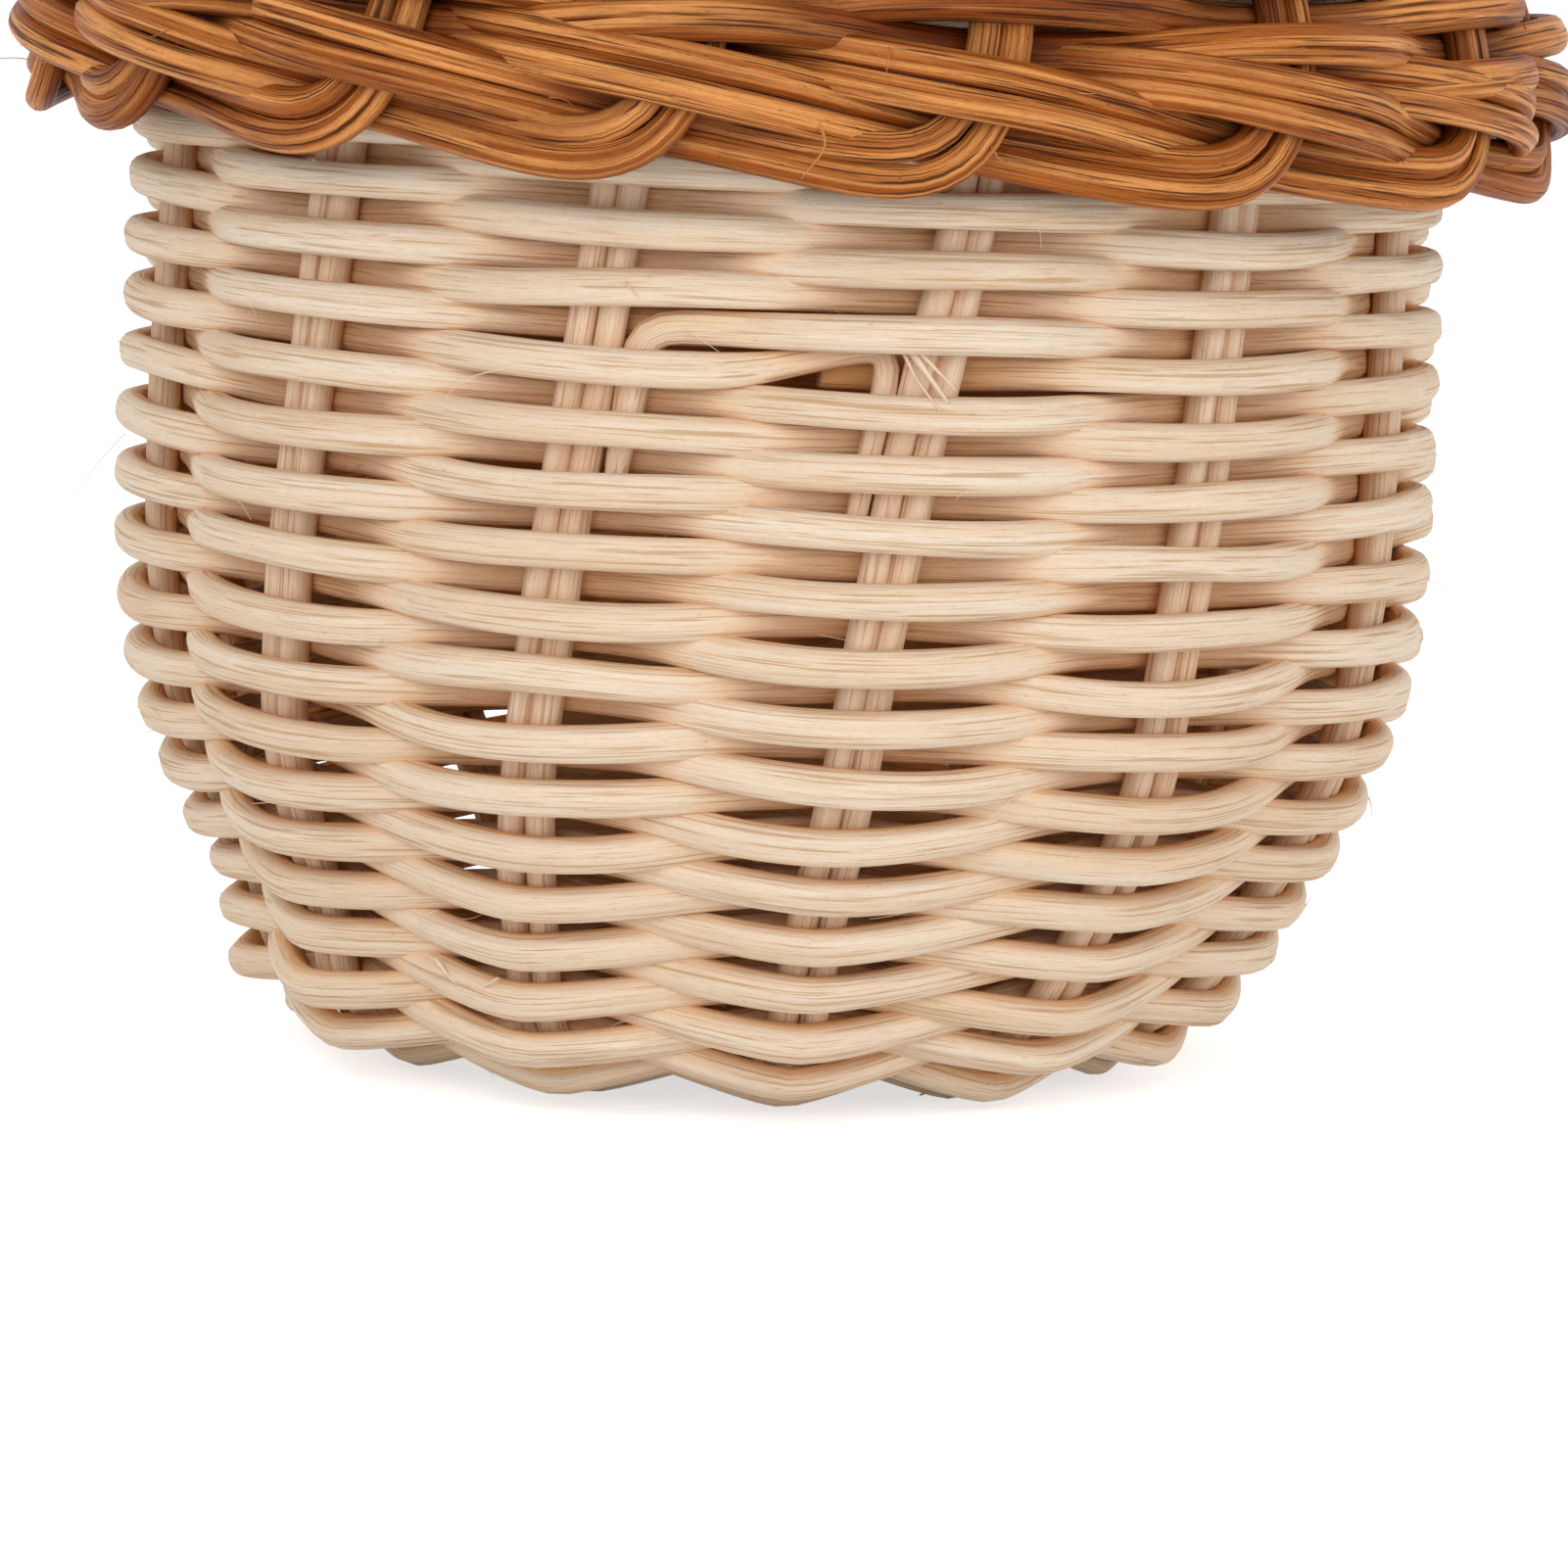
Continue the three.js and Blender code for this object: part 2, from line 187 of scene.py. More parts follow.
# The surface of the core. Colours are linear: pale, middle, deep and line. Painted shade: a face
# where other reeds stand before it, that looks into the wall or lies at a reed's top or bottom edge
# is painted deeper and warmer.
RIB_HEIGHT = 0.2
PAINTED_SHADE_RANGE = -3.2, 3.5
PAINTED_SHADE_POWER = 1.8
PAINTED_SHADE_FACING = 3.0
INSIDE_PAINTED_SHADE = 0.95
NATURAL_PAINTED_SHADE = 0.98, 0.66, 0.36
BROWN_PAINTED_SHADE = 0.32, 0.075, 0.015
NATURAL_COLOURS = (0.94, 0.795, 0.635), (0.9, 0.7, 0.51), (0.79, 0.55, 0.335), (0.5, 0.27, 0.1)
NATURAL_ROUGHNESS = 0.5, 0.72
BROWN_COLOURS = (0.92, 0.4, 0.12), (0.4, 0.105, 0.012), (0.17, 0.026, 0.001), (0.03, 0.003, 0.0001)
BROWN_ROUGHNESS = 0.38, 0.56

# Noise along the fibres of the core: features per millimetre across and along them, detail and
# roughness. It shows over a range of its values, and raises or sinks the surface by a share.
NOISES = {
    "ribs": (1.0, 0.014, 2, 0.55),
    "lengths": (0.12, 0.018, 3, 0.55),
    "grooves": (2.4, 0.045, 2, 0.6),
    "hairlines": (5.5, 0.12, 3, 0.6),
    "pores": (2.6, 0.7, 2, 0.5),
    "fuzz": (7.0, 0.9, 3, 0.65),
}
NOISE_RANGES = {
    "ribs": (0.38, 0.62), "lengths": (0.43, 0.7), "grooves": (0.54, 0.65),
    "hairlines": (0.55, 0.66), "pores": (0.7, 0.75), "fuzz": (0.5, 0.75),
}
RELIEF_SHARES = {"grooves": -1.0, "hairlines": -0.45, "ribs": 0.8, "fuzz": -0.3}
ROUGHNESS_RANGE = 0.3, 0.75
PIECE_TONE_SHARE = 0.3
HAIRLINE_SHARE = 0.6
FUZZ_SHARE = 0.45

# Loose fibres: their count, sizes and bends, and those of the photograph as a radius and points
# of (side, height, stand-off) on the front.
BASKET_FIBRES = 420
LID_FIBRES = 220
FIBRE_SIDES = 5
FIBRE_POINTS = 7
FIBRE_LENGTHS = 2.0, 11.0
FIBRE_LENGTH_SHARES = 0.3, 1
FIBRE_REACH_SHARES = 0.6, 1
FIBRE_RISE_SHARES = 0.05, 0.5
FIBRE_RISE_POWERS = 1, 2
FIBRE_ASIDE_SHARE = 0.35
FIBRE_TURN = 1.2
FIBRE_TIP_SHARE = 0.35
FIBRE_RADII = 0.04, 0.09
FIBRE_ROOT_SHARE = 0.97
FIBRE_PAINTED_SHADE_DEPTH = 6.0
FIBRE_STEP = 0.8
FIBRES_INSIDE_SHARE = 0.3
MARK_NEAR = 3.0
BASKET_MARKS = [
    (0.07, [(-81.4, 79.3, 0), (-85, 75.2, 2.5), (-87, 72.3, 5), (-88.2, 69.8, 7)]),
    (0.09, [(-32.2, 93.2, 1.6), (-36.3, 91.8, 0.8), (-38.8, 89.7, 0.3), (-39.7, 87.3, 0)]),
    (0.3, [(-39.9, 19.2, 0.2), (-37.5, 16.9, 0.8), (-34.4, 16.7, 1.5), (-32, 18.4, 2.4)]),
    (0.16, [(-18.3, 103.8, 0), (-17.5, 103, 0.5), (-16.7, 102.3, 1)]),
    (0.1, [(-42, 20.9, 0), (-41.6, 24.6, 1.5), (-39.5, 26, 2)]),
    (0.07, [(5.2, 62.9, 0), (10.3, 62.3, 0.9), (18.3, 63.6, 1.4)]),
    (0.07, [(55.9, 53.6, 0), (58.9, 55.9, 1), (62.6, 57.7, 2)]),
    (0.55, [(14.8, 96.9, -3), (17, 94, -1.5), (19.4, 91, 0.6)]),
    (0.35, [(15.6, 97, -2.8), (18, 94.6, -1.6), (20.4, 92.2, -1)]),
    (0.3, [(14.2, 96.4, -3), (16, 93.2, -1.5), (18.6, 90, 0.8)]),
    (0.2, [(17.4, 94.8, -1.4), (19, 94.2, -0.6), (21, 94.6, -0.4)]),
    (0.14, [(19.6, 1.4, -0.4), (20.4, 1.8, 0.3), (21, 2.6, 0.6)]),
    (0.06, [(28.7, 114.3, 0), (29.4, 111.5, 1), (29.8, 109, 1.2)]),
    (0.08, [(-11.1, 98.2, 0), (-9.1, 97.2, 1), (-7.1, 95.9, 0.6)]),
]
LID_MARKS = [
    (0.2, [(3.4, 123.9, -0.3), (4.3, 121, 0.6), (1.7, 117.1, 1.1)]),
    (0.14, [(11.3, 132.2, 0), (11.1, 130.5, 0.5), (11, 129.1, 0.5)]),
    (0.16, [(23.3, 121.2, 0), (24, 120, 0.5), (24.7, 119.4, 0.3)]),
    (0.12, [(-75.4, 129.7, 0), (-73.8, 130.4, 0.7), (-72.2, 131.1, 1)]),
    (0.15, [(-27.2, 125.3, 0), (-25.6, 125.2, 0.6), (-24.4, 124.5, 0.9)]),
    (0.09, [(-90.1, 125.5, 0), (-94, 125.8, 2), (-97.9, 125.3, 3)]),
]

# The studio and the camera of the photograph.
WORLD_STRENGTH = 0.63
FLOOR_HALF = 3000.0
FLOOR_TONE = 0.95
FLOOR_ROUGHNESS = 0.9
FLOOR_GLOW = 0.65
LAMP_AIM = 80.0
KEY_PLACE = -300.0, -800.0, 420.0
KEY_SIZE = 500.0
KEY_POWER = 2.1
FILL_PLACE = 680.0, -560.0, 170.0
FILL_SIZE = 700.0
FILL_POWER = 1.9
SENSOR_WIDTH = 36.0
PHOTO_PIXELS = 1601
FOCAL_PIXELS = 7000
CAMERA_DISTANCE = 875.0
CAMERA_ASIDE = 1.7
CAMERA_AIM = 33.9
CAMERA_PITCH = math.radians(8.2)
CAMERA_ROLL = math.radians(1.6)
CLIP_TIMES = 20

# Fineness of the meshes.
RING_STEP = 2.4
TINY_STEP = 1e-6  # keeps distances rising where two rings coincide
ROD_SIDES = 20
CURVE_STEPS = 160
PLAIT_CURVE_STEPS = 40
FIBRE_CURVE_STEPS = 20
SURFACE_STEPS = 3000


def curve_through(points, steps):
    """A centripetal Catmull-Rom curve through points, with steps samples between each two."""
    places = [np.array(point, float) for point in points]
    places = [2 * places[0] - places[1], *places, 2 * places[-1] - places[-2]]
    shares = (np.arange(steps) / steps)[:, None]
    samples = []
    for p0, p1, p2, p3 in zip(places, places[1:], places[2:], places[3:]):
        d0, d1, d2 = (np.linalg.norm(b - a) ** 0.5 for a, b in ((p0, p1), (p1, p2), (p2, p3)))
        leave = ((p1 - p0) / d0 - (p2 - p0) / (d0 + d1) + (p2 - p1) / d1) * d1
        arrive = ((p2 - p1) / d1 - (p3 - p1) / (d1 + d2) + (p3 - p2) / d2) * d1
        bend = -3 * p1 + 3 * p2 - 2 * leave - arrive
        turn = 2 * p1 - 2 * p2 + leave + arrive
        samples.append(p1 + leave * shares + bend * shares ** 2 + turn * shares ** 3)
    samples.append(places[-2][None])
    return np.concatenate(samples)


def distances(points):
    """The distance along a line of points, from its first."""
    steps = np.linalg.norm(np.diff(points, axis=0), axis=1)
    return np.concatenate([[0], np.cumsum(steps)])


def spaced(points, step):
    """The same line with its points a step apart."""
    along = distances(points)
    count = max(2, int(round(along[-1] / step)) + 1)
    wanted = np.linspace(0, along[-1], count)
    return np.stack([np.interp(wanted, along, column) for column in points.T], axis=1)


def unit(vectors):
    return vectors / np.linalg.norm(vectors, axis=-1, keepdims=True)


class Surface:
    """The middle of a woven wall, turned about Z from an outline of (radius, height) points.

    A place on it has a distance s along the outline, an angle, a depth out of the wall and a
    step sideways. sense is 1 where the outline climbs the outside and -1 on a lid. twist leans
    the stakes, drifts move single pairs of them, slant tips the rim and bulge fills the foot.
    """

    def __init__(self, outline, sense, pairs, twist, twist_from, turn, lift, drifts,
                 slant=0.0, bulge=0.0):
        curve = curve_through(outline, CURVE_STEPS)
        along = distances(curve)
        self.length = along[-1]
        self.s = np.linspace(0, self.length, SURFACE_STEPS)
        self.radius = np.interp(self.s, along, curve[:, 0])
        self.height = np.interp(self.s, along, curve[:, 1])
        self.outward = np.gradient(self.radius, self.s)
        self.upward = np.gradient(self.height, self.s)
        self.sense = sense
        self.twist = twist
        self.turn = turn
        self.lift = lift
        self.start = self.distance_at(twist_from)
        self.pairs = pairs
        still = (0,) * len(DRIFT_SHARES)
        numbers = range(pairs + 1)
        self.drifts = np.array([drifts.get(number % pairs, still) for number in numbers], float)
        self.slant = slant
        self.bulge = bulge

    def distance_at(self, radius):
        return self.s[np.argmax(self.radius >= radius)]

    def radius_at(self, s):
        return np.interp(s, self.s, self.radius)

    def place(self, s, angle, depth=0.0, side=0.0):
        """Points and outward normals of places, as arrays."""
        s, angle, depth, side = np.broadcast_arrays(s, angle, depth, side)
        share = np.maximum(0, s - self.start) / (self.length - self.start)
        turned = angle + self.turn + share * self.twist + self.drift(angle, share)
        outward = np.interp(s, self.s, self.outward)
        upward = np.interp(s, self.s, self.upward)
        size = np.hypot(outward, upward)
        out, up = self.sense * upward / size, -self.sense * outward / size
        radius = np.interp(s, self.s, self.radius) + out * depth
        height = np.interp(s, self.s, self.height) + up * depth + self.lift
        cos, sin = np.cos(turned), np.sin(turned)
        if self.bulge:
            low = np.exp(-((height - self.lift - BASKET_BULGE_HEIGHT) / BASKET_BULGE_REACH) ** 2)
            low = low * np.interp(radius, BASKET_BULGE_RADII, (0, 1))
            radius = radius + self.bulge * low * np.maximum(0, np.cos(turned - BASKET_BULGE_TOWARD))
        if self.slant:
            near_rim = np.interp(self.length - s, LID_SLANT_BAND, (1, 0))
            height = height - self.slant * cos * near_rim
        points = np.stack([radius * cos - side * sin, radius * sin + side * cos, height], axis=-1)
        normals = np.stack([out * cos, out * sin, up], axis=-1)
        return points, normals

    def drift(self, angle, share):
        """How far the stakes stand off their even spacing, as an angle."""
        number = np.mod(stake_number(self.pairs, angle), self.pairs)
        total = 0
        for knot, column in zip(np.eye(len(DRIFT_SHARES)), self.drifts.T):
            sideways = np.interp(number, range(self.pairs + 1), column)
            total = total + np.interp(share, DRIFT_SHARES, knot) * sideways
        return total / self.radius_at(self.length)


def stake_number(pairs, angle):
    """The number of the pair of stakes at an angle, with a fraction between two pairs."""
    return angle * pairs / (2 * math.pi) + (pairs / 4 - 1) / 2


def stake_angle(pairs, number):
    """The angle of a pair of stakes. A quarter of the pairs is centred on each arm of the cross."""
    return (number - (pairs / 4 - 1) / 2) * 2 * math.pi / pairs


def wander(rng, wave, size):
    """A smooth random drift along a length, as a function of the distance."""
    waves = wave * rng.uniform(*WANDER_SPREAD, WANDER_WAVES)
    phases = rng.uniform(0, 2 * math.pi, WANDER_WAVES)
    return lambda d: size * sum(np.sin(2 * math.pi * d / w + p) for w, p in zip(waves, phases)) / 2


class Reed:
    """Rings of a rod or reed: centres, the surface's normals there and radii, in millimetres.

    depths are how far the centres lie out of the wall's middle and set only the painted shade, and
    flatness is how much wider the reed is along the wall than through it, as a share.
    """

    def __init__(self, centres, normals, radii, depths, flatness=0.0):
        self.centres = centres
        self.normals = normals
        self.radii = np.broadcast_to(radii, len(centres)).astype(float)
        self.depths = np.broadcast_to(depths, len(centres)).astype(float)
        self.flatness = flatness


def rounded_ends(reed):
    """The same reed with a ring added at each end, drawn in, so that the cut edges are eased."""
    centres, normals, radii = reed.centres, reed.normals, reed.radii
    first = unit(centres[0] - centres[1]) * radii[0] * CUT_DEPTH_SHARE
    last = unit(centres[-1] - centres[-2]) * radii[-1] * CUT_DEPTH_SHARE
    centres = np.concatenate([[centres[0] + first], centres, [centres[-1] + last]])
    normals = np.concatenate([normals[:1], normals, normals[-1:]])
    radii = np.concatenate([[radii[0] * CUT_WIDTH_SHARE], radii, [radii[-1] * CUT_WIDTH_SHARE]])
    depths = np.concatenate([reed.depths[:1], reed.depths, reed.depths[-1:]])
    return Reed(centres, normals, radii, depths, reed.flatness)


def tube_arrays(reed, rng, sides, floor):
    """Vertices, faces, fibre places and painted-shade mask of one reed, uneven as grown and split
    core is.
    """
    reed = rounded_ends(reed)
    along = distances(reed.centres)
    heading = unit(np.gradient(reed.centres, along + TINY_STEP * np.arange(len(along)), axis=0))
    across = unit(np.cross(heading, reed.normals))
    upright = np.cross(across, heading)
    angles = 2 * math.pi * np.arange(sides) / sides
    thickness = 1 + wander(rng, THICKNESS_WAVE, THICKNESS_SWING_SHARE)(along)
    turn = wander(rng, FACET_WAVE, math.pi)(along)[:, None]
    facets = sum(
        share * np.cos(count * (angles[None] - turn / count)) for count, share in FACET_SHARES)
    if reed.flatness:
        facets = facets - REED_SQUARENESS * np.cos(4 * angles[None])
    size = (reed.radii * thickness)[:, None] * (1 + facets)
    cos = np.cos(angles)[None] * size * (1 - reed.flatness)
    sin = np.sin(angles)[None] * size * (1 + reed.flatness)
    places = reed.centres[:, None] + cos[..., None] * upright[:, None]
    places = places + sin[..., None] * across[:, None]
    if floor:
        places[..., 2] = np.maximum(places[..., 2], 0)
    offset = rng.uniform(0, FIBRE_OFFSET)
    fibres = np.stack([cos, sin, np.broadcast_to(along[:, None] + offset, cos.shape)], axis=-1)
    # Painted-shade mask: near 1 where a face is recessed behind other reeds, looks into the wall or
    # lies at a reed's edge, 0 where it stands out.
    facing = np.tanh(PAINTED_SHADE_FACING * np.cos(angles))[None]
    shown = (reed.depths[:, None] + cos) * facing
    painted_shade = 1 - np.clip((shown - PAINTED_SHADE_RANGE[0]) / (PAINTED_SHADE_RANGE[1] - PAINTED_SHADE_RANGE[0]), 0, 1)
    painted_shade = np.maximum(painted_shade, INSIDE_PAINTED_SHADE * np.maximum(0, -facing)) ** PAINTED_SHADE_POWER
    rings = len(reed.centres)
    first = (np.arange(rings - 1)[:, None] * sides + np.arange(sides)[None]).ravel()
    beside = (np.arange(sides)[None] + 1) % sides
    following = (np.arange(rings - 1)[:, None] * sides + beside).ravel()
    walls = np.stack([first, following, following + sides, first + sides], axis=1)
    start_cap = list(range(sides))[::-1]
    end_cap = [(rings - 1) * sides + k for k in range(sides)]
    faces = walls.tolist() + [start_cap, end_cap]
    return places.reshape(-1, 3), faces, fibres.reshape(-1, 3), painted_shade.ravel()


def woven_piece(name, reeds, node, body, material, rng, sides=ROD_SIDES, floor=False):
    """One object made of reeds, in place of a CAD node where one is named."""
    places, faces, fibres, tones, painted_shades = [], [], [], [], []
    count = 0
    for reed in reeds:
        at, around, fibre, painted_shade = tube_arrays(reed, rng, sides, floor)
        places.append(at)
        faces.extend([[index + count for index in face] for face in around])
        fibres.append(fibre)
        tones.append(np.full(len(at), rng.uniform(0, 1)))
        painted_shades.append(painted_shade)
        count += len(at)
    mesh = bpy.data.meshes.new(name)
    mesh.from_pydata((np.concatenate(places) * MM).tolist(), [], faces)
    fibre = mesh.attributes.new("fibre", "FLOAT_VECTOR", "POINT")
    fibre.data.foreach_set("vector", np.concatenate(fibres).astype(np.float32).ravel())
    # Stored per vertex: a random tone for each reed, and the mask of painted shade.
    for label, values in (("tone", tones), ("painted_shade", painted_shades)):
        attribute = mesh.attributes.new(label, "FLOAT", "POINT")
        attribute.data.foreach_set("value", np.concatenate(values).astype(np.float32))
    mesh.polygons.foreach_set("use_smooth", np.ones(len(faces), dtype=bool))
    mesh.materials.append(material)
    piece = bpy.data.objects.new(name, mesh)
    bpy.context.collection.objects.link(piece)
    if node:
        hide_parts(node)
    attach(piece, body)


class Weave:
    """Two reeds that chase each other round the stakes, outside one pair and inside the next.

    A place along them is counted in stakes, as t. start and end are distances along the outline,
    and radius is a function of that distance. stretch is how many rows the last one is moved on,
    sag how much lower the rows of the middle lie, and spreads are those of the joins.
    """

    def __init__(self, surface, start, end, pitch, radius, swing, squareness, join_shares,
                 flatness=0.0, stretch=0.0, spreads=(), sag=0.0):
        self.surface = surface
        self.pairs = surface.pairs
        self.start = start
        self.end = end
        self.pitch = pitch
        self.radius = radius
        self.swing = swing
        self.squareness = squareness
        self.join_shares = join_shares
        self.flatness = flatness
        self.stretch = stretch * pitch / (end - start)
        self.spreads = spreads
        self.sag = sag

    def cuts(self, strand):
        """The stakes where the lengths of a strand are cut, all on the inside of the wall."""
        stakes = ((self.end - self.start) / self.pitch - strand) * self.pairs / 2
        shares = [0, *self.join_shares[strand], 1]
        return [2 * math.floor(share * (stakes - 1) / 2) + 1 - strand for share in shares]

    def distance(self, t, strand):
        return self.start + self.pitch * (2 * t / self.pairs + strand)

    def places(self, t, strand, extra_depth, extra_rise):
        """Distances along the outline, angles and depths of places along a strand."""
        s = self.distance(t, strand)
        share = np.clip((s - self.surface.start) / (self.surface.length - self.surface.start), 0, 1)
        sag = self.sag * np.exp(-((share - ROW_SAG_MIDDLE) / ROW_SAG_WIDTH) ** 2)
        s = s + extra_rise + self.stretch * (s - self.start) + self.spread(s, -t) - sag
        wave = np.cos(math.pi * (t + strand))
        pointed = np.arcsin(POINTEDNESS * wave) / math.asin(POINTEDNESS)
        wave = np.tanh(self.squareness * wave) / math.tanh(self.squareness)
        wave = wave + (pointed - wave) * np.interp(share, ROW_POINTED_SHARES, (1, 0))
        depth = self.swing * wave + extra_depth
        return s, stake_angle(self.pairs, -t), depth

    def spread(self, s, number):
        """How the rows beside some joins are pushed apart by the tucked ends."""
        total = 0
        for stake, strand, size in self.spreads:
            above = s - self.distance(stake, strand)
            beside = np.mod(number + stake + self.pairs / 2, self.pairs) - self.pairs / 2
            near = np.exp(-(above / JOIN_REACH) ** 2 - (beside / JOIN_STAKES_WIDE) ** 2)
            total = total + size * np.tanh(above / JOIN_SOFTNESS) * near
        return total

    def length(self, strand, first, last, rng, lap, tucks=(None, None)):
        """One reed from stake first to stake last, lapping past both ends on the inside.

        An end with a tuck turns down beside its stake instead, in the plane of the stakes.
        """
        start = first - lap if tucks[0] is None else first + tucks[0].beside
        stop = last + lap if tucks[1] is None else last - tucks[1].beside
        t = np.linspace(start, stop, self.ring_count(start, stop))
        space = 2 * math.pi * self.surface.radius_at(self.distance(t, strand)) / self.pairs
        along = np.concatenate([[0], np.cumsum(np.diff(t) * space[1:])])
        inward = -LAP_DEPTH * np.clip((t - last + lap) / (2 * lap), 0, 1) if lap else 0.0
        rise = wander(rng, ROW_WAVE, ROW_WANDER)(along)
        depth = wander(rng, ROW_WAVE, DEPTH_WANDER)(along) + inward
        s, angle, depth = self.places(t, strand, depth, rise)
        radii = self.radius(self.distance(t, strand))
        rings = np.stack([s, angle, depth, radii], axis=1)
        if tucks[0]:
            rings = tucks[0].added(rings[::-1])[::-1]
        if tucks[1]:
            rings = tucks[1].added(rings)
        points, normals = self.surface.place(*rings[:, :3].T)
        if any(tucks):
            return eased(points, normals, rings[:, 3], rings[:, 2], self.flatness)
        return Reed(points, normals, rings[:, 3], rings[:, 2], self.flatness)

    def ring_count(self, start, stop):
        middle = self.distance((start + stop) / 2, 0)
        space = 2 * math.pi * self.surface.radius_at(middle) / self.pairs
        return int((stop - start) * space / RING_STEP) + 2


class Tuck:
    """The end of a reed that is turned down beside a stake, tapering to its tip.

    beside is how far from the stake it turns, in spaces between stakes, lift how far above its
    row and inward how far inside the plane of the stakes. The shares are of its full thickness.
    """

    def __init__(self, beside, length, width_share, tip_share, lift=0.0, inward=0.0):
        self.beside = beside
        self.length = length
        self.width_share = width_share
        self.tip_share = tip_share
        self.lift = lift
        self.inward = inward

    def added(self, rings):
        """The rings, as rows of distance, angle, depth and radius, with the tuck after the last."""
        back = np.linspace(1, 0, len(rings)) * len(rings) * RING_STEP
        hold = np.interp(back, TUCK_HOLD, (1, 0))
        rings = rings.copy()
        held = rings[:, 2] * (1 - hold) - self.inward * hold
        rings[:, 2] = np.where(rings[:, 2] < 0, held, rings[:, 2])
        rings[:, 3] *= 1 + (self.width_share - 1) * hold
        rings[:, 0] += self.lift * np.interp(back, (0, TUCK_LIFT_REACH), (1, 0))
        down = np.arange(RING_STEP, self.length, RING_STEP)
        share = down / self.length
        tail = np.repeat(rings[-1:], len(down), axis=0)
        tail[:, 0] -= down
        tail[:, 2] *= np.exp(-down / TUCK_RETURN)
        tail[:, 3] *= 1 + (self.tip_share - 1) * share ** 2
        return np.concatenate([rings, tail])


def plait_line(surface, side, diameter):
    """One rod of a pair in a border, as (distance round the rim, height above the edge, depth).

    It comes down its own stake, hooks round the edge, passes inside the next pair, outside the
    second and ends inside the third. side is 1 for the rod on the outer bend.
    """
    space = 2 * math.pi * surface.radius_at(surface.length - PLAIT_EDGE) / surface.pairs
    route = [(along * space, rise, depth * PLAIT_DEPTH) for along, rise, depth in HOOK_ROUTE]
    for spaces, depth in ARM_ROUTE:
        rise = (spaces - CAD_HOOK_SHARE) * PLAIT_STEP - PLAIT_ARM_DROP
        route.append((-spaces * space, rise, depth * PLAIT_DEPTH))
    line = spaced(curve_through(route, PLAIT_CURVE_STEPS), RING_STEP)
    heading = unit(np.gradient(line[:, :2], axis=0))
    line[:, 0] += -side * diameter / 2 * heading[:, 1]
    line[:, 1] += side * diameter / 2 * heading[:, 0]
    return line, space


def rod_end(surface, fan_radius, diameter, end, rng):
    """The end of a rod, from the cross out along its pair of stakes and into the border."""
    pair, side = end // 2, -1 if end % 2 == 0 else 1
    angle = stake_angle(surface.pairs, pair)
    line, space = plait_line(surface, side, diameter)
    edge = surface.length - PLAIT_EDGE
    steps = np.arange(surface.distance_at(fan_radius), edge - HOOK_TOP - RING_STEP, RING_STEP)
    lean = wander(rng, STAKE_WAVE, STAKE_WANDER)(steps)
    stake, stake_normals = surface.place(steps, angle, 0, side * (diameter + PAIR_GAP) / 2 + lean)
    turn = line[:, 0] / space * 2 * math.pi / surface.pairs
    wave = wander(rng, PLAIT_WAVE, PLAIT_WANDER)(distances(line))
    rise = line[:, 1] + PLAIT_RISE * np.interp(line[:, 1], (0, HOOK_TOP), (1, 0))
    border, border_normals = surface.place(edge - rise + wave, angle + turn, line[:, 2])
    # The hooks' depths for the painted-shade mask: raised near the edge, so less shade is painted
    # there.
    shown = HOOK_PAINTED_SHADE_LIFT * np.interp(line[:, 1], (0, HOOK_TOP / 2), (1, 0))
    depths = np.concatenate([np.zeros(len(stake)), line[:, 2] + shown])
    return np.concatenate([stake, border]), np.concatenate([stake_normals, border_normals]), depths


def crossed_rods(surface, cross_rods, fan_radius, diameter, rng):
    """The rods of a cross. Their ends are counted round it, and each two neighbours make a pair."""
    middle = (cross_rods - 1) / 2
    apart = diameter + PAIR_GAP
    bundle_edge = middle * apart + diameter
    opposite = 3 * cross_rods
    cos, sin = math.cos(surface.turn), math.sin(surface.turn)
    turned = np.array([[cos, sin, 0], [-sin, cos, 0], [0, 0, 1]])
    rods = []
    for bundle in (0, 1):
        layer = apart / 2 if bundle == 0 else -apart / 2
        centre, normal = surface.place(0, 0, layer)
        for rod in range(cross_rods):
            beside = (rod - middle) * apart
            ends = (rod, opposite - 1 - rod)
            if bundle == 1:
                ends = (surface.pairs - 1 - rod, opposite + rod)
            out = np.arange(bundle_edge, -bundle_edge, -RING_STEP)
            rest = np.full_like(out, beside)
            level = np.full_like(out, centre[2])
            line = [out, rest, level] if bundle == 0 else [rest, out, level]
            cross = np.stack(line, axis=1) @ turned
            (near, near_normals, near_depths), (far, far_normals, far_depths) = (
                rod_end(surface, fan_radius, diameter, end, rng) for end in ends)
            across_normals = np.tile(normal, (len(cross), 1))
            points = np.concatenate([near[::-1], cross, far])
            normals = np.concatenate([near_normals[::-1], across_normals, far_normals])
            depths = np.concatenate([near_depths[::-1], np.full(len(cross), layer), far_depths])
            rods.append(eased(points, normals, diameter / 2, depths))
    return rods


def eased(points, normals, radii, depths, flatness=0.0):
    """A rod through points, evenly stepped, with its corners rounded by averaging neighbours."""
    along = distances(points)
    keep = np.concatenate([[True], np.diff(along) > RING_STEP / 4])
    radii = np.broadcast_to(radii, len(points))
    rings = np.concatenate([points, normals, radii[:, None], depths[:, None]], axis=1)[keep]
    along = along[keep]
    count = int(along[-1] / RING_STEP) + 1
    wanted = np.linspace(0, along[-1], count)
    rings = np.stack([np.interp(wanted, along, column) for column in rings.T], axis=1)
    for _ in range(EASING_ROUNDS):
        rings[1:-1] = (rings[:-2] + 2 * rings[1:-1] + rings[2:]) / 4
    return Reed(rings[:, :3], unit(rings[:, 3:6]), rings[:, 6], rings[:, 7], flatness)


